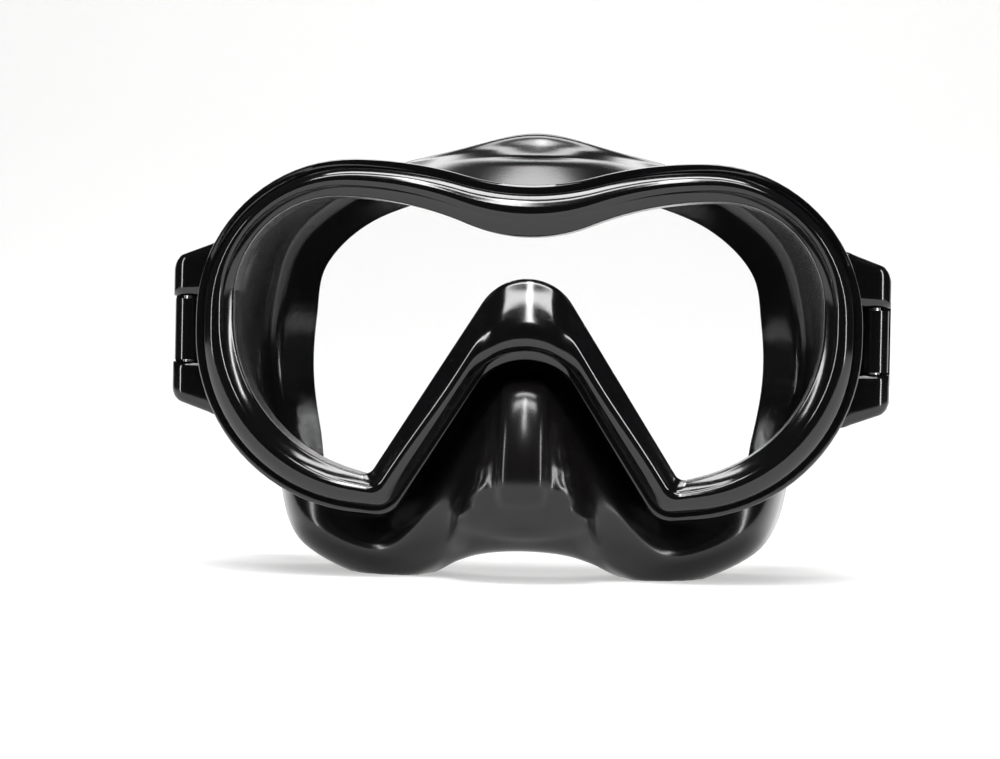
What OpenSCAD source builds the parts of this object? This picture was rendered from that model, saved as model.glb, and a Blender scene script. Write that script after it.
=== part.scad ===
// One-window diving mask: front bezel, rear frame with buckle lugs, flat lens, soft face skirt
// with nose pocket, and a swivelling strap buckle with roller and spring latch on each side.
// +Z up, front of the mask towards -Y, symmetric about the YZ plane, lowest point at Z = 0.

/* [Window] */
// Half width of the clear window
window_half_w = 71.9; // [70:0.1:73]
// Height of the window's highest edge
window_top_z = 93.5; // [92:0.1:95]
// Height of the window's edge over the nose bridge
window_dip_z = 84.3; // [83:0.1:86]
// Height of the notch apex in the window
notch_apex_z = 74.1; // [72:0.1:76]
// Angle of each notch leg from the vertical
notch_half = 32.2; // [30:0.1:34]

/* [Frame] */
// Half width of the frame without its lugs
frame_half_w = 80.6; // [80:0.1:80.9]
// Height of the frame's highest edge
frame_top_z = 102; // [101.5:0.1:103]
// Height of the frame's edge over the nose bridge
frame_dip_z = 96.2; // [95.5:0.1:97]
// Front face of the bezel
bezel_front_y = -32; // [-33:0.1:-31.5]
// Rear face of the frame
frame_rear_y = -14; // [-14.5:0.1:-13.8]

/* [Lens] */
// Thickness of the flat lens
lens_t = 4; // [3.5:0.1:4]
// Width of lens edge held behind the bezel
lens_margin = 2.2; // [1.5:0.1:2.3]

/* [Skirt] */
// Wall thickness of the skirt
skirt_wall = 2; // [1.6:0.1:2.2]
// Steps round half of the skirt
skirt_steps = 40; // [32:2:44]

/* [Buckles] */
// Distance of each swivel pin from the mask's middle plane
pivot_x = 85.2; // [85:0.1:85.5]
// Depth position of each swivel pin
pivot_y = -15; // [-15.2:0.1:-14.8]
// Radius of each swivel pin
pivot_r = 1.5; // [1.2:0.1:1.8]
// Radius of each strap roller
roller_r = 2.6; // [2.2:0.1:2.7]
// Clear height between the buckle plates, for a 22 mm strap
strap_gap = 23; // [21:0.5:23]

/* [Hidden] */
$fn = 64;

gloss = [0.04, 0.04, 0.05];
soft = [0.08, 0.08, 0.09];
steel = [0.6, 0.6, 0.62];
clear = [0.8, 0.9, 0.92, 0.35];

lens_front_y = bezel_front_y + 4;
lens_rear_y = lens_front_y + lens_t;
collar_outer = 3;
collar_inner = 0.4;
collar_front_y = lens_rear_y + 0.1;
collar_rear_y = frame_rear_y + 0.8;
band_rear_y = -20;
mid_z = 60.5;

// half width, top, dip, dip radius, corner radius, lower radius, lower centre height,
// foot radius, leg intercept height, apex radius, foot turn angle
window_apex_r = 13;
window_leg_z = notch_apex_z - window_apex_r + window_apex_r / sin(notch_half);
window_edge = [window_half_w, window_top_z, window_dip_z, 40, 25.4, 38.4, 63.9, 3,
  window_leg_z, window_apex_r, 75];
frame_edge = [frame_half_w, frame_top_z, frame_dip_z, 60, 38, 42.5, 59.5, 6, 68.2, 15, 85];

function arc(c, r, a0, a1, n, first = 0) =
  [for (i = [first:n]) c + r * [cos(a0 + (a1 - a0) * i / n), sin(a0 + (a1 - a0) * i / n)]];

// Right half of an edge from the brow dip round to the notch apex, moved out by d
function half_edge(p, d) =
  let (cx = p[0] - p[4])
  let (rise = p[1] - p[2])
  let (reach = (cx * cx + rise * rise) / (2 * rise))
  let (turn = asin(cx / reach))
  let (n = [cos(notch_half), sin(notch_half)])
  let (u = [cos(p[10]), -sin(p[10])])
  let (low = [p[0] - p[5], p[6]])
  let (a = u * low + p[5] - p[7])
  let (b = p[8] * n[1] + p[7])
  let (det = u[0] * n[1] - u[1] * n[0])
  let (foot = [(a * n[1] - b * u[1]) / det, (u[0] * b - n[0] * a) / det])
  concat(
    arc([0, p[2] + p[3]], p[3] - d, 270, 270 + turn, 4),
    arc([cx, p[1] - reach + p[3]], reach - p[3] + d, 90 + turn, 90, 6, 1),
    arc([cx, p[1] - p[4]], p[4] + d, 90, 0, 12, 1),
    arc(low, p[5] + d, 0, -p[10], 12),
    arc(foot, p[7] + d, -p[10], notch_half - 180, 6),
    arc([0, p[8] - p[9] / n[1]], p[9] - d, notch_half, 90, 6)
  );

function whole_edge(h) = concat(h, [for (i = [len(h) - 2:-1:1]) [-h[i][0], h[i][1]]]);

// Plate between two depths, drawn from the front
module slab(y0, y1) {
  translate([0, y1, 0])
    rotate([90, 0, 0])
      linear_extrude(height = y1 - y0)
        children();
}

module edge_plate(p, d, y0, y1) {
  slab(y0, y1)
    polygon(whole_edge(half_edge(p, d)));
}

module edge_ring(outer, d_outer, inner, d_inner, y0, y1) {
  difference() {
    edge_plate(outer, d_outer, y0, y1);
    edge_plate(inner, d_inner, y0 - 1, y1 + 1);
  }
}

// Raised arch of the bezel over the nose pocket
module nose_bridge() {
  intersection() {
    edge_ring(frame_edge, -1.4, frame_edge, -5, bezel_front_y - 3, bezel_front_y + 1);
    slab(bezel_front_y - 4, bezel_front_y + 2)
      polygon([[0, 80], [34, 28], [-34, 28]]);
  }
}

module bezel() {
  color(gloss)
    union() {
      edge_ring(frame_edge, -3.6, window_edge, 1.6, bezel_front_y, bezel_front_y + 0.8);
      edge_ring(frame_edge, -2.2, window_edge, 0.6, bezel_front_y + 0.8, bezel_front_y + 2);
      edge_ring(frame_edge, -1.4, window_edge, 0, bezel_front_y + 2, lens_front_y - 0.05);
      edge_ring(window_edge, 5, window_edge, lens_margin + 0.2, lens_front_y - 0.05, lens_rear_y - 0.1);
      nose_bridge();
    }
}

// Lug arm, from above: root on the frame's side and an eye round the swivel pin
module arm_plan() {
  eye_r = 4;
  difference() {
    union() {
      translate([76, pivot_y - eye_r])
        square([pivot_x - 76, 4.5]);
      translate([79.5, pivot_y - eye_r])
        square([pivot_x - 79.5, 2 * eye_r]);
      translate([pivot_x, pivot_y])
        circle(r = eye_r);
    }
    translate([pivot_x, pivot_y])
      circle(r = pivot_r + 0.02);
  }
}

// Outline of the upper and lower arm from the front, rounded off towards the outside
module arms_front() {
  reach_x = pivot_x + 4;
  polygon([[75, 68.8], [reach_x, 68.8], [reach_x, 76], [reach_x - 2, 79], [78, 82.5], [75, 82.8]]);
  polygon([[75, 38.6], [78, 39.2], [reach_x - 2, 42.5], [reach_x, 45], [reach_x, 52.4], [75, 52.4]]);
}

module lug_arms() {
  intersection() {
    translate([0, 0, 30])
      linear_extrude(height = 60)
        arm_plan();
    slab(pivot_y - 6, pivot_y + 6)
      arms_front();
  }
}

module frame() {
  notch_w = 60 * tan(notch_half);
  color(gloss)
    union() {
      edge_ring(frame_edge, 0.8, window_edge, 5.2, lens_front_y + 0.1, -22);
      edge_ring(frame_edge, -1.8, window_edge, 3.7, -22, band_rear_y);
      difference() {
        edge_ring(frame_edge, -1.8, window_edge, 3.7, band_rear_y, frame_rear_y);
        slab(band_rear_y - 0.001, frame_rear_y + 1)
          polygon([[0, 83], [notch_w * 1.15, 14], [-notch_w * 1.15, 14]]);
      }
      lug_arms();
      mirror([1, 0, 0])
        lug_arms();
    }
}

module lens() {
  color(clear)
    edge_plate(window_edge, lens_margin, lens_front_y, lens_rear_y);
}

// Stations round the right half of the skirt: share of the window's edge, four points on the
// wall behind the collar, the line that meets the face, and the inner lip of the face seal.
// An empty wall runs straight from the collar to the face line.
stations = [
  [0, [], [0, 14, 115.5], [0, 18.5, 103]],
  [0.11, [], [24, 16, 109.5], [22, 20.5, 98]],
  [0.22, [], [48, 21, 100.5], [43.5, 25.5, 90.8]],
  [0.32, [], [65.5, 29.5, 87], [56.5, 33, 79.5]],
  [0.42, [], [73, 37, 67.5], [60.2, 40, 65.5]],
  [0.5, [], [73.5, 37.5, 48.5], [60.8, 40, 50.5]],
  [0.58, [], [68.5, 32.5, 29], [58, 35.5, 34.5]],
  [0.66, [[50.5, -11, 20], [55, -11, 13], [58, -4.5, 8.6], [60, 8, 7.4]], [62, 22.5, 10], [53, 28, 18.5]],
  [0.72, [[36.5, -11.5, 15.5], [36, -17.5, 6.5], [37, -11, -1.4], [38.5, 4, -1.4]], [42.5, 16, 0], [38, 21, 10]],
  [0.78, [[23.6, -17, 28], [22.5, -25, 18], [22.8, -19, 4], [25.5, -3, -0.6]], [29, 9.5, 0], [28, 15, 10]],
  [0.86, [[15.4, -18.4, 40], [12.8, -30, 32.5], [15, -33, 16], [15.6, -22, 5.4]], [18.5, 1, 4], [18, 8, 12.8]],
  [0.945, [[8, -18.6, 50.5], [7.2, -33, 41], [9, -38.2, 22], [9, -27, 7.8]], [9.5, -3, 7], [9.5, 4, 15.4]],
  [1, [[0, -18.8, 52.5], [0, -34, 44], [0, -40, 23], [0, -28.5, 8.4]], [0, -4, 8.4], [0, 4, 16.5]]
];

function mix(a, b, t) = a + (b - a) * t;
function flip(p) = [-p[0], p[1], p[2]];
function unit(v) = v / norm(v);

// Point at a share of the length of a planar outline
function lengths(h) = [for (i = 0, l = 0; i < len(h); i = i + 1, l = l + norm(h[min(i, len(h) - 1)] - h[i - 1])) l];
function find_span(l, want) = max([for (i = [0:len(l) - 2]) if (l[i] <= want) i]);
function at_share(h, l, s) =
  let (want = s * l[len(l) - 1])
  let (i = find_span(l, want))
  mix(h[i], h[i + 1], (want - l[i]) / (l[i + 1] - l[i]));

outer_half = half_edge(window_edge, collar_outer);
outer_l = lengths(outer_half);
inner_half = half_edge(window_edge, collar_inner);
inner_l = lengths(inner_half);

// The collar sits further forward in the notch, behind the frame's narrow band
function collar_depth(s) =
  let (t = min(max((s - 0.66) / 0.1, 0), 1))
  mix(collar_rear_y, band_rear_y + 2.2, t * t * (3 - 2 * t));
function collar_point(h, l, s, y) =
  let (q = at_share(h, l, s))
  [q[0], y, q[1]];

// Wall points of one station, filled in where the table leaves them empty
bow = 1.2;
function wall_points(st) =
  let (c = collar_point(outer_half, outer_l, st[0], collar_depth(st[0])))
  let (e = st[2])
  let (away = unit([c[0], 0, c[2] - mid_z]))
  len(st[1]) > 0 ? st[1] : [for (f = [0.2, 0.4, 0.6, 0.78]) mix(c, e, f) + bow * sin(180 * f) * away];

// The seal's bend is rounded: one point before the face line and one after it
bend = 3.6;
function station_row(st) =
  let (w = wall_points(st))
  let (before = st[2] + bend * unit(w[3] - st[2]))
  let (after = st[2] + bend * unit(st[3] - st[2]))
  [st[0], concat(w, [before, after, st[3]])];

plain_rows = [for (st = stations) station_row(st)];
last = len(plain_rows) - 1;
function flip_row(r, s) = [s, [for (p = r[1]) flip(p)]];
rows = concat(
  [flip_row(plain_rows[1], -plain_rows[1][0])],
  plain_rows,
  [flip_row(plain_rows[last - 1], 2 - plain_rows[last - 1][0])]
);

// Smooth curve through the stations, with even slopes on both sides of each
function hermite(a, b, ma, mb, h, t) =
  a * (2 * t * t * t - 3 * t * t + 1) + ma * h * (t * t * t - 2 * t * t + t)
  + b * (3 * t * t - 2 * t * t * t) + mb * h * (t * t * t - t * t);
function slope(k, j) = (rows[k + 1][1][j] - rows[k - 1][1][j]) / (rows[k + 1][0] - rows[k - 1][0]);
function station_span(s) = min(max([for (k = [1:len(rows) - 2]) if (rows[k][0] <= s) k]), len(rows) - 3);
function around(s, j) =
  let (k = station_span(s))
  let (h = rows[k + 1][0] - rows[k][0])
  hermite(rows[k][1][j], rows[k + 1][1][j], slope(k, j), slope(k + 1, j), h, (s - rows[k][0]) / h);

// One profile of the outer surface, from the collar's front edge to the seal's lip
sub = 2;
function profile_keys(s) = concat(
  [collar_point(outer_half, outer_l, s, collar_depth(s))],
  [for (j = [0:6]) around(s, j)]
);
function through(k, i, t) =
  let (n = len(k))
  let (before = k[max(i - 1, 0)])
  let (after = k[min(i + 2, n - 1)])
  hermite(k[i], k[i + 1], (k[i + 1] - before) / 2, (after - k[i]) / 2, 1, t);
function smooth_profile(k) = concat(
  [for (i = [0:len(k) - 2]) for (m = [0:sub - 1]) through(k, i, m / sub)],
  [k[len(k) - 1]]
);
function half_profile(s) = concat(
  [collar_point(outer_half, outer_l, s, collar_front_y)],
  smooth_profile(profile_keys(s))
);

half_grid = [for (i = [0:skirt_steps]) half_profile(i / skirt_steps)];
outer_grid = concat(half_grid,
  [for (i = [skirt_steps - 1:-1:1]) [for (p = half_grid[i]) flip(p)]]);
count = len(outer_grid);
depth = len(outer_grid[0]);

function wrap(i) = (i + count) % count;
function outward(i, j) =
  let (du = outer_grid[wrap(i + 1)][j] - outer_grid[wrap(i - 1)][j])
  let (dv = outer_grid[i][min(j + 1, depth - 1)] - outer_grid[i][max(j - 1, 0)])
  unit(cross(du, dv));
function ground(p, z) = [p[0], p[1], max(p[2], z)];
function share(i) = i <= skirt_steps ? i / skirt_steps : (count - i) / skirt_steps;
function collar_back(i, y) =
  let (p = collar_point(inner_half, inner_l, share(i), y))
  i <= skirt_steps ? p : flip(p);
inner_grid = [for (i = [0:count - 1]) [for (j = [0:depth - 1])
  j < 2 ? collar_back(i, outer_grid[i][j][1])
    : ground(outer_grid[i][j] - skirt_wall * outward(i, j), skirt_wall * 0.8)]];

module skirt() {
  shell = [for (i = [0:count - 1]) concat(
    [for (j = [0:depth - 1]) ground(outer_grid[i][j], 0)],
    [for (j = [depth - 1:-1:0]) inner_grid[i][j]]
  )];
  loop = 2 * depth;
  points = [for (c = shell) for (p = c) p];
  faces = [for (i = [0:count - 1]) for (j = [0:loop - 1])
    for (f = [
      [i * loop + j, i * loop + (j + 1) % loop, wrap(i + 1) * loop + j],
      [wrap(i + 1) * loop + j, i * loop + (j + 1) % loop, wrap(i + 1) * loop + (j + 1) % loop]
    ]) f];
  color(soft)
    polyhedron(points = points, faces = faces, convexity = 10);
}

// Buckle, drawn for the right side
pin_fit = 0.05;
plate_t = 2.5;
tongue_h = 15.2;
roller_at = [83.5, 9.5];
roller_pin_r = 1;
latch_at = [87.1, -3.5];
latch_pin_r = 0.9;
plate_top = mid_z - 0.5 + strap_gap / 2;
plate_low = mid_z - 0.5 - strap_gap / 2;

module upright(at, r, z0, z1) {
  translate([at[0], at[1], z0])
    cylinder(r = r, h = z1 - z0);
}

module plate_plan() {
  translate([79.5, -9.5])
    square([6.8, 19]);
  translate(roller_at)
    circle(r = 4);
  translate(latch_at)
    circle(r = 2.2);
  translate([83, latch_at[1] - 2.2])
    square([latch_at[0] - 83, 4.4]);
}

module swivel_pin() {
  upright([pivot_x, pivot_y], pivot_r, 42.6, 79);
}

module buckle() {
  tongue_low = mid_z - tongue_h / 2;
  difference() {
    union() {
      upright([pivot_x, pivot_y], 3.6, tongue_low, tongue_low + tongue_h);
      translate([pivot_x - 2.2, pivot_y, tongue_low])
        cube([4.4, 6, tongue_h]);
      translate([79.5, -9.5, plate_low - plate_t])
        cube([6.8, 3, strap_gap + 2 * plate_t]);
      for (z = [plate_low - plate_t, plate_top])
        translate([0, 0, z])
          linear_extrude(height = plate_t)
            plate_plan();
    }
    upright([pivot_x, pivot_y], pivot_r + pin_fit, 40, 80);
    upright(roller_at, roller_pin_r + 0.02, 40, 80);
    upright(latch_at, latch_pin_r + 0.02, 40, 80);
  }
}

module roller_pin() {
  upright(roller_at, roller_pin_r, plate_low - plate_t + 0.3, plate_top + plate_t - 0.3);
}

module roller() {
  difference() {
    upright(roller_at, roller_r, plate_low + 0.4, plate_top - 0.4);
    upright(roller_at, roller_pin_r + pin_fit, 40, 80);
  }
}

module latch_pin() {
  upright(latch_at, latch_pin_r, plate_low - plate_t + 0.3, plate_top + plate_t - 0.3);
}

module latch() {
  tooth = 1;
  difference() {
    union() {
      upright(latch_at, 2, plate_low + 0.5, plate_top - 0.5);
      translate([latch_at[0] + 1, latch_at[1] - 5, plate_low + 1])
        cube([1.8, 20.5, strap_gap - 2]);
      for (y = [8, 9.5, 11])
        translate([latch_at[0] + 1, y, plate_low + 2])
          linear_extrude(height = strap_gap - 4)
            polygon([[-tooth, 0.2], [0.3, -0.7], [0.3, 0.7]]);
    }
    upright(latch_at, latch_pin_r + pin_fit, 40, 80);
    upright(latch_at, 2.1, mid_z - 3.8, mid_z + 2.8);
  }
}

module latch_spring() {
  wire = 0.6;
  difference() {
    upright(latch_at, 1.7, mid_z - 3.3, mid_z + 2.3);
    upright(latch_at, 1.2, 40, 80);
  }
  translate([latch_at[0] - 0.7, latch_at[1] - 2.8, mid_z - 3.3])
    cube([wire, 2, wire]);
}

module left() {
  mirror([1, 0, 0])
    children();
}

bezel();
frame();
lens();
skirt();
left() color(steel) swivel_pin();  // left_swivel_pin
left() color(gloss) buckle();  // left_buckle
left() color(steel) roller_pin();  // left_roller_pin
left() color(gloss) roller();  // left_roller
left() color(steel) latch_pin();  // left_latch_pin
left() color(gloss) latch();  // left_latch
left() color(steel) latch_spring();  // left_latch_spring
color(steel) swivel_pin();  // right_swivel_pin
color(gloss) buckle();  // right_buckle
color(steel) roller_pin();  // right_roller_pin
color(gloss) roller();  // right_roller
color(steel) latch_pin();  // right_latch_pin
color(gloss) latch();  // right_latch
color(steel) latch_spring();  // right_latch_spring
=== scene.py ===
import math

import bmesh
import bpy
import numpy as np
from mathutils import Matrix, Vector


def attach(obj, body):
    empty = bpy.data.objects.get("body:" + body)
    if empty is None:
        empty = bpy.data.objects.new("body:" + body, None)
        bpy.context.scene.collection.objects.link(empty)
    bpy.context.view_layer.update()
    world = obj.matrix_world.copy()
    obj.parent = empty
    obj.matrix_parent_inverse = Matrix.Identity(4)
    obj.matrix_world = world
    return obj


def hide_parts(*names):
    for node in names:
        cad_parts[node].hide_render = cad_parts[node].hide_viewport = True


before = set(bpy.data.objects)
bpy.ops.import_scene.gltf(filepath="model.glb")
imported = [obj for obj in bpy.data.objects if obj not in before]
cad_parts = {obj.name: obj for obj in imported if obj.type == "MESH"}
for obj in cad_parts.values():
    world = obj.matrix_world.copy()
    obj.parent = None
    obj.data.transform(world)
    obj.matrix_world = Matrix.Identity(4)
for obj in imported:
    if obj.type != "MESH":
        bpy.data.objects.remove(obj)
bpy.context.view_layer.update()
MM = 0.001

# ---------------------------------------------------------------- sizes, in millimetres
NOTCH_HALF = 32.2
WINDOW = dict(half_w=71.9, top=93.5, dip=84.3, dip_r=40, corner_r=25.4, lower_r=38.4,
              lower_z=63.9, foot_r=3, leg_z=85.5, apex_r=13, foot_turn=75)
RIM = dict(half_w=80.6, top=102, dip=96.2, dip_r=60, corner_r=38, lower_r=42.5,
           lower_z=59.5, foot_r=6, leg_z=68.2, apex_r=15, foot_turn=85)
LENS_FRONT = -28.0
LENS_REAR = -24.0
LENS_MARGIN = 2.2
COLLAR_REAR = -13.2
COLLAR_FRONT = -23.9
BAND_REAR = -17.8
WALL = 2.0
BEND = 3.6
BOW = 1.2
MID_Z = 60.5
PIVOT = (85.2, -15.0)
EYE_R = 4.0
BEZEL_INSET = 1.4
FLANGE_OUT = 0.8
BACK_INSET = 1.8
ARM_START = 76
ARM_CLEAR = 79.5
ARM_REAR_ROOT = 0.5
UPPER_ARM_LOW = 68.8
LOWER_ARM_TOP = 52.4
ARM_SQUARENESS = 6
ARM_TOP = [(75, 82.8), (78, 82.5), (87.2, 79), (88.4, 77.6), (89.2, 75.5)]
ARM_LOW = [(75, 38.6), (78, 39.2), (87.2, 42.5), (88.4, 43.6), (89.2, 45.5)]
RIDGE_RISE = 2.2
RIDGE_HALF = 5.4
PAD_RISE = 1.2
GROOVE_DEEP = 0.6
GROOVE_LEVELS = (25.9, 31.3, 36.6, 41.8)
DENT_DEEP = 1.6
DENT_LEVEL = 107.5

# ---------------------------------------------------------------- outlines


def arc(c, r, a0, a1, n, first=0):
    """Points of an arc from angle a0 to a1, in degrees."""
    turn = np.radians(np.linspace(a0, a1, n + 1)[first:])
    return np.column_stack([c[0] + r * np.cos(turn), c[1] + r * np.sin(turn)])


def half_edge(p, d, fine=2, leg=14):
    """Right half of a rim edge, from the brow dip round to the notch apex, moved out by d."""
    cx = p["half_w"] - p["corner_r"]
    rise = p["top"] - p["dip"]
    reach = (cx * cx + rise * rise) / (2 * rise)
    turn = math.degrees(math.asin(cx / reach))
    half = math.radians(NOTCH_HALF)
    foot_turn = math.radians(p["foot_turn"])
    n = np.array([math.cos(half), math.sin(half)])
    u = np.array([math.cos(foot_turn), -math.sin(foot_turn)])
    low = np.array([p["half_w"] - p["lower_r"], p["lower_z"]])
    a = u @ low + p["lower_r"] - p["foot_r"]
    b = p["leg_z"] * n[1] + p["foot_r"]
    foot = np.linalg.solve(np.array([u, n]), np.array([a, b]))
    apex = (0, p["leg_z"] - p["apex_r"] / n[1])
    foot_arc = arc(foot, p["foot_r"] + d, -p["foot_turn"], NOTCH_HALF - 180, 5 * fine)
    apex_arc = arc(apex, p["apex_r"] - d, NOTCH_HALF, 90, 5 * fine)
    share = np.linspace(0, 1, leg + 1)[1:-1, None]
    leg_line = foot_arc[-1] * (1 - share) + apex_arc[0] * share
    return np.vstack([
        arc((0, p["dip"] + p["dip_r"]), p["dip_r"] - d, 270, 270 + turn, 4 * fine),
        arc((cx, p["top"] - reach + p["dip_r"]), reach - p["dip_r"] + d, 90 + turn, 90, 6 * fine, 1),
        arc((cx, p["top"] - p["corner_r"]), p["corner_r"] + d, 90, 0, 10 * fine, 1),
        arc(low, p["lower_r"] + d, 0, -p["foot_turn"], 10 * fine),
        foot_arc, leg_line, apex_arc])


def whole(half):
    """Both halves of an edge as one closed loop."""
    back = half[-2:0:-1] * np.array([-1, 1])
    return np.vstack([half, back])


# ---------------------------------------------------------------- mesh helpers


def make_mesh(name, points, faces, smooth_angle=35):
    """A mesh object in metres from points in millimetres."""
    mesh = bpy.data.meshes.new(name)
    mesh.from_pydata([tuple(float(v) * MM for v in p) for p in points], [], faces)
    mesh.validate()
    mesh.update()
    obj = bpy.data.objects.new(name, mesh)
    bpy.context.scene.collection.objects.link(obj)
    mesh.shade_smooth()
    if smooth_angle:
        mesh.set_sharp_from_angle(angle=math.radians(smooth_angle))
    return obj


def loft(name, grid, closed_profile=True, smooth_angle=35):
    """A surface through a grid [round][profile], closed round the first direction."""
    grid = np.asarray(grid)
    rounds, depth = grid.shape[:2]
    faces = []
    last = depth if closed_profile else depth - 1
    for i in range(rounds):
        for j in range(last):
            a = i * depth + j
            b = i * depth + (j + 1) % depth
            c = ((i + 1) % rounds) * depth + (j + 1) % depth
            d = ((i + 1) % rounds) * depth + j
            faces.append((a, b, c, d))
    obj = make_mesh(name, grid.reshape(-1, 3), faces, smooth_angle)
    face_out(obj)
    return obj


def face_out(obj):
    """Turns every face to look outwards."""
    bm = bmesh.new()
    bm.from_mesh(obj.data)
    bmesh.ops.recalc_face_normals(bm, faces=bm.faces)
    bm.to_mesh(obj.data)
    bm.free()


def smooth_line(keys, steps):
    """A smooth curve through key points."""
    keys = np.asarray(keys, float)
    out = []
    n = len(keys)
    for i in range(n - 1):
        before = keys[max(i - 1, 0)]
        after = keys[min(i + 2, n - 1)]
        ma = (keys[i + 1] - before) / 2
        mb = (after - keys[i]) / 2
        for m in range(steps):
            t = m / steps
            out.append(hermite(keys[i], keys[i + 1], ma, mb, 1, t))
    out.append(keys[-1])
    return np.array(out)


def hermite(a, b, ma, mb, h, t):
    """Cubic between two points with given slopes."""
    return (a * (2 * t ** 3 - 3 * t * t + 1) + ma * h * (t ** 3 - 2 * t * t + t)
            + b * (3 * t * t - 2 * t ** 3) + mb * h * (t ** 3 - t * t))


# ---------------------------------------------------------------- materials


def new_material(name):
    """A node material and its shader."""
    mat = bpy.data.materials.new(name)
    mat.use_nodes = True
    tree = mat.node_tree
    return mat, tree, tree.nodes["Principled BSDF"]


def add_noise(tree, scale, detail=3.0):
    """Noise in object space, in metres."""
    coords = tree.nodes.new("ShaderNodeTexCoord")
    noise = tree.nodes.new("ShaderNodeTexNoise")
    noise.inputs["Scale"].default_value = scale
    noise.inputs["Detail"].default_value = detail
    tree.links.new(coords.outputs["Object"], noise.inputs["Vector"])
    return noise


def ramp_between(tree, source, low, high):
    """Maps a 0 to 1 value onto low to high."""
    node = tree.nodes.new("ShaderNodeMapRange")
    node.inputs["To Min"].default_value = low
    node.inputs["To Max"].default_value = high
    tree.links.new(source, node.inputs["Value"])
    return node.outputs["Result"]


def add_bump(tree, shader, source, strength, distance):
    """Bump on a shader."""
    bump = tree.nodes.new("ShaderNodeBump")
    bump.inputs["Strength"].default_value = strength
    bump.inputs["Distance"].default_value = distance
    tree.links.new(source, bump.inputs["Height"])
    tree.links.new(bump.outputs["Normal"], shader.inputs["Normal"])


def vary_colour(tree, shader, source, dark, light):
    """Colour that wanders between two tones."""
    mix = tree.nodes.new("ShaderNodeMix")
    mix.data_type = "RGBA"
    mix.inputs["A"].default_value = (*dark, 1)
    mix.inputs["B"].default_value = (*light, 1)
    tree.links.new(source, mix.inputs["Factor"])
    tree.links.new(mix.outputs["Result"], shader.inputs["Base Color"])


def gloss_black():
    """Injection-moulded black plastic with a polished skin."""
    mat, tree, shader = new_material("gloss_black")
    broad = add_noise(tree, 60, 2)
    fine = add_noise(tree, 900, 2)
    vary_colour(tree, shader, broad.outputs["Fac"], (0.0012, 0.0012, 0.0014), (0.003, 0.003, 0.0034))
    rough = ramp_between(tree, fine.outputs["Fac"], 0.07, 0.16)
    tree.links.new(rough, shader.inputs["Roughness"])
    shader.inputs["IOR"].default_value = 1.5
    add_bump(tree, shader, broad.outputs["Fac"], 0.06, 0.0006)
    return mat


def silicone_black():
    """Polished liquid silicone, a little softer in its shine."""
    mat, tree, shader = new_material("silicone_black")
    broad = add_noise(tree, 45, 3)
    fine = add_noise(tree, 1400, 2)
    vary_colour(tree, shader, broad.outputs["Fac"], (0.0018, 0.0016, 0.0017), (0.005, 0.0044, 0.0046))
    rough = ramp_between(tree, broad.outputs["Fac"], 0.14, 0.26)
    tree.links.new(rough, shader.inputs["Roughness"])
    shader.inputs["IOR"].default_value = 1.43
    add_bump(tree, shader, fine.outputs["Fac"], 0.05, 0.0002)
    return mat


def lens_glass():
    """Clear tempered glass."""
    mat, tree, shader = new_material("lens_glass")
    broad = add_noise(tree, 30, 1)
    vary_colour(tree, shader, broad.outputs["Fac"], (0.985, 0.995, 0.995), (0.995, 1.0, 1.0))
    rough = ramp_between(tree, broad.outputs["Fac"], 0.0, 0.008)
    tree.links.new(rough, shader.inputs["Roughness"])
    shader.inputs["Transmission Weight"].default_value = 1.0
    shader.inputs["IOR"].default_value = 1.5
    return mat


def steel():
    """Drawn stainless steel wire and pins."""
    mat, tree, shader = new_material("stainless")
    fine = add_noise(tree, 1600, 3)
    vary_colour(tree, shader, fine.outputs["Fac"], (0.50, 0.51, 0.52), (0.64, 0.64, 0.65))
    rough = ramp_between(tree, fine.outputs["Fac"], 0.2, 0.36)
    tree.links.new(rough, shader.inputs["Roughness"])
    shader.inputs["Metallic"].default_value = 1.0
    add_bump(tree, shader, fine.outputs["Fac"], 0.1, 0.0001)
    return mat


def floor_white():
    """Matte white studio paper."""
    mat, tree, shader = new_material("studio_white")
    grain = add_noise(tree, 400, 2)
    vary_colour(tree, shader, grain.outputs["Fac"], (0.56, 0.56, 0.56), (0.6, 0.59, 0.59))
    shader.inputs["Roughness"].default_value = 0.9
    shader.inputs["Emission Color"].default_value = (1, 0.995, 0.99, 1)
    shader.inputs["Emission Strength"].default_value = 0.44
    return mat


def give(obj, mat):
    """Makes a material the object's only one."""
    obj.data.materials.clear()
    obj.data.materials.append(mat)


# ---------------------------------------------------------------- bezel, frame and lens


def band(profile, inner, outer):
    """A ring whose section is given as (share across the band, depth) pairs."""
    section = np.array(profile, float)
    rounds = []
    for a, b in zip(inner, outer):
        flat = a[None, :] + (b - a)[None, :] * section[:, :1]
        rounds.append(np.column_stack([flat[:, 0], section[:, 1], flat[:, 1]]))
    return np.array(rounds)


def notch_share(point):
    """1 on the arch over the nose, falling to 0 towards the notch's feet."""
    half = math.radians(NOTCH_HALF)
    reach = math.cos(half) * abs(point[0]) + math.sin(half) * point[1]
    inside = min(max((40 - reach) / 4, 0), 1)
    height = min(max((point[1] - 22) / 24, 0), 1)
    return inside * height * height * (3 - 2 * height)


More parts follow.
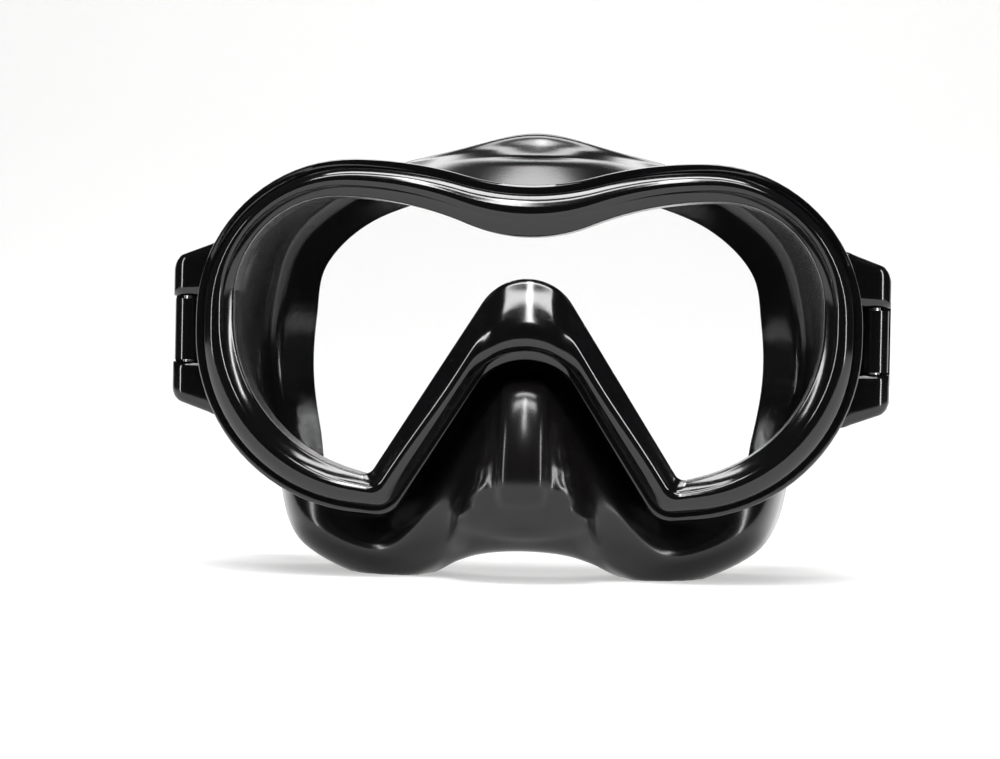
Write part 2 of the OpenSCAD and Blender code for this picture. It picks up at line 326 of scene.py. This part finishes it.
def bezel_ring():
    """Rounded front ring with a bevel down to the lens, rising to an arch over the nose."""
    low = smooth_line([(0.05, -29.2), (0.18, -29.9), (0.3, -30.7), (0.4, -31.5), (0.52, -31.95),
                       (0.66, -31.9), (0.8, -31.3), (0.92, -30.3)], 4)
    high = smooth_line([(0.05, -29.4), (0.18, -30.6), (0.32, -32), (0.46, -33.3), (0.6, -34.4),
                        (0.76, -35), (0.9, -34.7), (0.97, -33.6)], 4)
    head = [(0, -28.1), (0, -28.7), (0.02, -29.0)]
    tail = [(0.97, -29.7), (0.99, -29.0), (1.0, -28.2), (0.97, -28.0), (0.6, -28.0), (0.3, -28.05)]
    arch_tail = [(0.99, -32.0), (1.0, -30.0), (1.0, -28.2), (0.97, -28.0), (0.6, -28.0), (0.3, -28.05)]
    plain = np.array(head + [tuple(p) for p in low] + tail)
    arch = np.array(head + [tuple(p) for p in high] + arch_tail)
    inner = whole(half_edge(WINDOW, 0))
    outer = whole(half_edge(RIM, -BEZEL_INSET))
    rounds = []
    for a, b in zip(inner, outer):
        section = plain + (arch - plain) * notch_share(b)
        flat = a[None, :] + (b - a)[None, :] * section[:, :1]
        rounds.append(np.column_stack([flat[:, 0], section[:, 1], flat[:, 1]]))
    return loft("bezel_ring", np.array(rounds), True, 50)


def rim_ring():
    """Frame behind the bezel: outer flange, side wall and rear edge."""
    profile = [(0, -27.8), (0.35, -27.9), (0.55, -28.1), (0.78, -28.4), (0.92, -28.3), (0.98, -27.9),
               (1.0, -27.2), (1.0, -24), (0.98, -22.6), (0.9, -22.1), (0.64, -21.8), (0.56, -21.2),
               (0.5, -20.4), (0, -20.2)]
    inner = whole(half_edge(WINDOW, 5.3))
    outer = whole(half_edge(RIM, FLANGE_OUT))
    return loft("rim_ring", band(profile, inner, outer))


def rim_back():
    """Rear collar of the frame; it thins out behind the nose notch."""
    half_in = half_edge(WINDOW, 3.7)
    half_out = half_edge(RIM, -BACK_INSET)
    n = [math.cos(math.radians(NOTCH_HALF)), math.sin(math.radians(NOTCH_HALF))]
    rounds = []
    for a, b in zip(whole(half_in), whole(half_out)):
        mid = (a + b) / 2
        reach = n[0] * abs(mid[0]) + n[1] * mid[1]
        t = min(max((reach - 43) / 6, 0), 1)
        if mid[1] > 80:
            t = 1
        rear = -20.3 + 6.3 * t * t * (3 - 2 * t)
        front = -21.5
        keys = [(0, front), (0, rear - 0.6 if rear > -20 else rear - 0.2), (0.1, rear), (0.85, rear),
                (1.0, rear - 0.6 if rear > -20 else rear - 0.2), (1.0, front)]
        rounds.append([(a[0] + (b[0] - a[0]) * w, y, a[1] + (b[1] - a[1]) * w) for w, y in keys])
    return loft("rim_back", rounds)


def lens_plate():
    """Flat lens with fine ground edges."""
    half_o = whole(half_edge(WINDOW, LENS_MARGIN))
    half_i = whole(half_edge(WINDOW, LENS_MARGIN - 0.4))
    rings = [(half_i, LENS_FRONT), (half_o, LENS_FRONT + 0.4), (half_o, LENS_REAR - 0.4), (half_i, LENS_REAR)]
    points = []
    for loop, y in rings:
        points += [(q[0], y, q[1]) for q in loop]
    n = len(half_o)
    faces = []
    for k in range(3):
        for i in range(n):
            j = (i + 1) % n
            faces.append((k * n + i, k * n + j, (k + 1) * n + j, (k + 1) * n + i))
    faces.append(tuple(range(n)))
    faces.append(tuple(range(4 * n - 1, 3 * n - 1, -1)))
    obj = make_mesh("lens_plate", points, faces, 20)
    face_out(obj)
    return obj


# ---------------------------------------------------------------- skirt

STATIONS = [
    (0, [], (0, 14, 115.5), (0, 18.5, 103)),
    (0.11, [], (24, 16, 109.5), (22, 20.5, 98)),
    (0.22, [], (48, 21, 100.5), (43.5, 25.5, 90.8)),
    (0.32, [], (65.5, 29.5, 87), (56.5, 33, 79.5)),
    (0.42, [], (73, 37, 67.5), (60.2, 40, 65.5)),
    (0.5, [], (73.5, 37.5, 48.5), (60.8, 40, 50.5)),
    (0.58, [], (68.5, 32.5, 29), (58, 35.5, 34.5)),
    (0.66, [(50.5, -11, 20), (55, -11, 13), (58, -4.5, 8.6), (60, 8, 7.4)],
     (62, 22.5, 10), (53, 28, 18.5)),
    (0.72, [(36.5, -11.5, 15.5), (36, -17.5, 6.5), (37, -11, -1.4), (38.5, 4, -1.4)],
     (42.5, 16, 0), (38, 21, 10)),
    (0.78, [(23.6, -17, 28), (22.5, -25, 18), (22.8, -19, 4), (25.5, -3, -0.6)],
     (29, 9.5, 0), (28, 15, 10)),
    (0.86, [(15.4, -18.4, 40), (12.8, -30, 32.5), (15, -33, 16), (15.6, -22, 5.4)],
     (18.5, 1, 4), (18, 8, 12.8)),
    (0.945, [(8, -18.6, 50.5), (7.2, -33, 41), (9, -38.2, 22), (9, -27, 7.8)],
     (9.5, -3, 7), (9.5, 4, 15.4)),
    (1, [(0, -18.8, 52.5), (0, -34, 44), (0, -40, 23), (0, -28.5, 8.4)],
     (0, -4, 8.4), (0, 4, 16.5)),
]
FLIP = np.array([-1, 1, 1])


def unit(v):
    """A vector of length 1."""
    return v / np.linalg.norm(v)


class Collar:
    """The skirt's collar edge, looked up by its share of the window's edge."""

    def __init__(self, d):
        self.line = half_edge(WINDOW, d, 3, 24)
        steps = np.linalg.norm(np.diff(self.line, axis=0), axis=1)
        self.at = np.concatenate([[0], np.cumsum(steps)])
        self.at /= self.at[-1]

    def point(self, s, y):
        x = np.interp(s, self.at, self.line[:, 0])
        z = np.interp(s, self.at, self.line[:, 1])
        return np.array([x, y, z])


def collar_depth(s):
    """The collar sits further forward in the notch."""
    t = min(max((s - 0.66) / 0.1, 0), 1)
    return COLLAR_REAR + (BAND_REAR - COLLAR_REAR) * t * t * (3 - 2 * t)


def station_keys(station, collar):
    """Wall, bend and lip points of one station."""
    s, wall, face, lip = station
    face = np.array(face, float)
    lip = np.array(lip, float)
    if wall:
        wall = [np.array(p, float) for p in wall]
    else:
        c = collar.point(s, collar_depth(s))
        away = unit(np.array([c[0], 0, c[2] - MID_Z]))
        wall = [c + (face - c) * f + BOW * math.sin(math.pi * f) * away for f in (0.2, 0.4, 0.6, 0.78)]
    before = face + BEND * unit(wall[3] - face)
    after = face + BEND * unit(lip - face)
    return np.array(wall + [before, after, lip])


class SkirtWall:
    """Smooth outer surface of the skirt through its stations."""

    def __init__(self):
        self.collar = Collar(3.0)
        plain = [(st[0], station_keys(st, self.collar)) for st in STATIONS]
        first = (-plain[1][0], plain[1][1] * FLIP)
        end = (2 - plain[-2][0], plain[-2][1] * FLIP)
        self.rows = [first] + plain + [end]

    def slope(self, k):
        rise = self.rows[k + 1][1] - self.rows[k - 1][1]
        return rise / (self.rows[k + 1][0] - self.rows[k - 1][0])

    def around(self, s):
        below = [k for k in range(1, len(self.rows) - 1) if self.rows[k][0] <= s + 1e-12]
        k = min(max(below), len(self.rows) - 3)
        h = self.rows[k + 1][0] - self.rows[k][0]
        t = (s - self.rows[k][0]) / h
        return hermite(self.rows[k][1], self.rows[k + 1][1], self.slope(k), self.slope(k + 1), h, t)

    def profile(self, s, steps):
        keys = [self.collar.point(s, collar_depth(s))] + list(self.around(s))
        return [self.collar.point(s, COLLAR_FRONT)] + list(smooth_line(keys, steps))

    def grid(self, rounds, steps):
        half = [self.profile(i / rounds, steps) for i in range(rounds + 1)]
        other = [[p * FLIP for p in half[i]] for i in range(rounds - 1, 0, -1)]
        return np.array(half + other)


def wall_normals(grid):
    """Outward normals of the skirt's outer surface."""
    du = np.roll(grid, -1, 0) - np.roll(grid, 1, 0)
    dv = np.empty_like(grid)
    dv[:, 1:-1] = grid[:, 2:] - grid[:, :-2]
    dv[:, 0] = grid[:, 1] - grid[:, 0]
    dv[:, -1] = grid[:, -1] - grid[:, -2]
    n = np.cross(du, dv)
    return n / np.linalg.norm(n, axis=2)[..., None]


def swell(grid, normals):
    """Moulded detail on the outer surface: nose ridge, finger grooves and forehead dent."""
    x = grid[..., 0]
    y = grid[..., 1]
    z = grid[..., 2]
    front = np.clip((-20 - y) / 6, 0, 1)
    side = np.abs(x)
    ridge_ends = np.clip((z - 17) / 4, 0, 1) * np.clip((52 - z) / 6, 0, 1)
    ridge = RIDGE_RISE / (1 + np.exp((side - RIDGE_HALF) / 0.5)) * ridge_ends * front
    oval = 1 - (x / 18) ** 2 - ((z - 15.6) / 5.2) ** 2
    pad = PAD_RISE * np.clip(oval * 1.3, 0, 1) * np.clip((-22 - y) / 4, 0, 1)
    groove = np.zeros_like(x)
    for level in GROOVE_LEVELS:
        groove += np.exp(-((z - level) / 0.75) ** 2)
    groove *= np.clip((side - 6.8) / 1.6, 0, 1) * np.clip((13.6 - side) / 2.4, 0, 1) * front
    height = np.maximum(ridge, pad) - GROOVE_DEEP * groove * (1 - np.clip(oval, 0, 1))
    dent = np.exp(-(x / 15) ** 2 - ((z - DENT_LEVEL) / 3.6) ** 2)
    height -= DENT_DEEP * dent * np.clip((y - 2) / 4, 0, 1)
    return grid + normals * height[..., None]


def skirt_shell():
    """Soft skirt: outer wall with its moulded detail, inner wall and a thin face seal."""
    surface = SkirtWall()
    rounds = 180
    outer = surface.grid(rounds, 12)
    normals = wall_normals(outer)
    count, depth = outer.shape[:2]
    share = np.linspace(0, 1, depth)
    thick = WALL - 0.9 * np.clip((share - 0.8) / 0.2, 0, 1)
    inner = outer - normals * thick[None, :, None]
    inner[..., 2] = np.maximum(inner[..., 2], WALL * 0.8)
    back = Collar(0.4)
    for i in range(count):
        s = i / rounds if i <= rounds else (count - i) / rounds
        for j in (0, 1):
            p = back.point(s, outer[i, j, 1])
            inner[i, j] = p if i <= rounds else p * FLIP
    outer = swell(outer, normals)
    outer[..., 2] = np.maximum(outer[..., 2], 0)
    shell = np.concatenate([outer, inner[:, ::-1]], axis=1)
    return loft("skirt_shell", shell, True, 50)


# ---------------------------------------------------------------- studio


def place_camera():
    """Level view from slightly to the +X side, with a short telephoto lens."""
    data = bpy.data.cameras.new("camera")
    data.lens = 88.9
    data.sensor_width = 36
    camera = bpy.data.objects.new("camera", data)
    bpy.context.scene.collection.objects.link(camera)
    target = Vector((-0.0062, -0.030, 0.0495))
    azimuth = math.radians(3.2)
    elevation = math.radians(0.5)
    distance = 0.600
    away = Vector((math.sin(azimuth) * math.cos(elevation), -math.cos(azimuth) * math.cos(elevation),
                   math.sin(elevation)))
    camera.location = target + away * distance
    camera.rotation_euler = (target - camera.location).to_track_quat("-Z", "Y").to_euler()
    camera.rotation_euler.rotate_axis("Z", math.radians(1.1))
    bpy.context.scene.camera = camera


def area_light(name, place, target, size, energy, size_y=None):
    """A soft rectangular light."""
    data = bpy.data.lights.new(name, "AREA")
    data.shape = "RECTANGLE"
    data.size = size
    data.size_y = size_y or size
    data.energy = energy
    light = bpy.data.objects.new(name, data)
    bpy.context.scene.collection.objects.link(light)
    light.location = place
    light.rotation_euler = (Vector(target) - Vector(place)).to_track_quat("-Z", "Y").to_euler()


def studio():
    """White paper sweep and soft boxes in a nearly dark room."""
    n = 24
    points = []
    for x in (-1.1, 1.1):
        points.append((x, -0.34, 0))
        for k in range(n + 1):
            a = math.radians(90 * k / n)
            points.append((x, 0.5 + 0.5 * math.sin(a), 0.5 - 0.5 * math.cos(a)))
        points.append((x, 1.0, 0.9))
    row = n + 3
    faces = [(k, k + 1, row + k + 1, row + k) for k in range(row - 1)]
    sweep = make_mesh("studio_sweep", np.array(points) / MM, faces, 0)
    give(sweep, floor_white())
    world = bpy.data.worlds.new("surround")
    world.use_nodes = True
    back = world.node_tree.nodes["Background"]
    back.inputs["Color"].default_value = (1, 1, 1, 1)
    back.inputs["Strength"].default_value = 0.03
    bpy.context.scene.world = world
    area_light("overhead", (0, -0.05, 0.95), (0, 0, 0), 0.6, 7, 0.24)
    area_light("front_top", (0, -0.46, 0.92), (0, -0.03, 0.04), 0.8, 7, 0.16)
    area_light("left_strip", (-0.62, -0.42, 0.22), (0, 0, 0.06), 0.07, 2.0, 0.5)
    area_light("right_strip", (0.62, -0.42, 0.22), (0, 0, 0.06), 0.07, 2.6, 0.5)
    area_light("top_strip", (0, -0.42, 0.62), (0, 0, 0.06), 0.06, 2.2, 0.42)
    area_light("back_soft", (0, 1.3, 1.3), (0, 0, 0), 1.4, 16, 0.6)
    bpy.context.scene.view_settings.view_transform = "Standard"


# ---------------------------------------------------------------- assembly


def dress_buckles(plastic, metal):
    """Edges and materials on the buckle pieces that come from the frame."""
    for side in ("left", "right"):
        for part in ("buckle", "latch", "roller"):
            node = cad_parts[side + "_" + part]
            give(node, plastic)
            round_off(node, 0.0004)
        for part in ("swivel_pin", "roller_pin", "latch_pin", "latch_spring"):
            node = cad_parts[side + "_" + part]
            give(node, metal)
            round_off(node, 0.00012)


def round_off(obj, width):
    """Softens sharp edges."""
    bevel = obj.modifiers.new("edge", "BEVEL")
    bevel.width = width
    bevel.segments = 3
    bevel.limit_method = "ANGLE"
    bevel.angle_limit = math.radians(35)
    bevel.harden_normals = False


def lug_arm(name, upper, side):
    """A rounded lug arm: sections from the frame's side out to the eye's end."""
    cx, cy = PIVOT
    stations = [(x, EYE_R) for x in np.linspace(ARM_START, cx, 14)]
    for a in range(8, 89, 8):
        t = math.radians(a)
        stations.append((cx + EYE_R * math.sin(t), EYE_R * math.cos(t)))
    rounds = []
    for x, half_y in stations:
        edge = np.interp(x, *zip(*(ARM_TOP if upper else ARM_LOW)))
        z0, z1 = (UPPER_ARM_LOW, edge) if upper else (edge, LOWER_ARM_TOP)
        front = -half_y
        rear = half_y if x > ARM_CLEAR else ARM_REAR_ROOT
        mid_y, mid_z = (front + rear) / 2, (z0 + z1) / 2
        dy, dz = (rear - front) / 2, (z1 - z0) / 2
        ring = []
        for k in range(40):
            a = 2 * math.pi * (k + 0.5) / 40
            c, s = math.cos(a), math.sin(a)
            soft = (abs(c) ** ARM_SQUARENESS + abs(s) ** ARM_SQUARENESS) ** (-1 / ARM_SQUARENESS)
            ring.append((side * x, cy + mid_y + dy * c * soft, mid_z + dz * s * soft))
        rounds.append(ring)
    count = len(rounds[0])
    points = [p for ring in rounds for p in ring]
    faces = []
    for i in range(len(rounds) - 1):
        for k in range(count):
            m = (k + 1) % count
            faces.append((i * count + k, i * count + m, (i + 1) * count + m, (i + 1) * count + k))
    faces.append(tuple(range(count)))
    faces.append(tuple(range(len(points) - 1, len(points) - count - 1, -1)))
    obj = make_mesh(name, points, faces, 50)
    face_out(obj)
    return obj


def build():
    """All pieces: the ones built here ride on the mask body, the buckle pieces stay as imported from the CAD.
    """
    plastic = gloss_black()
    soft = silicone_black()
    glass = lens_glass()
    metal = steel()
    ring = bezel_ring()
    give(ring, plastic)
    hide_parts("bezel")
    rim = rim_ring()
    give(rim, plastic)
    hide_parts("frame")
    back = rim_back()
    give(back, plastic)
    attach(ring, "mask")
    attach(rim, "mask")
    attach(back, "mask")
    for side, word in ((-1, "left"), (1, "right")):
        for place in ("upper", "lower"):
            arm = lug_arm(word + "_" + place + "_lug", place == "upper", side)
            give(arm, plastic)
            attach(arm, "mask")
    lens = lens_plate()
    give(lens, glass)
    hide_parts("lens")
    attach(lens, "mask")
    skirt = skirt_shell()
    give(skirt, soft)
    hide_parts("skirt")
    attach(skirt, "mask")
    dress_buckles(plastic, metal)


place_camera()
studio()
build()
bpy.context.view_layer.update()


def plain(box):
    """A box as plain lists of numbers."""
    return [[float(v) for v in corner] for corner in box]
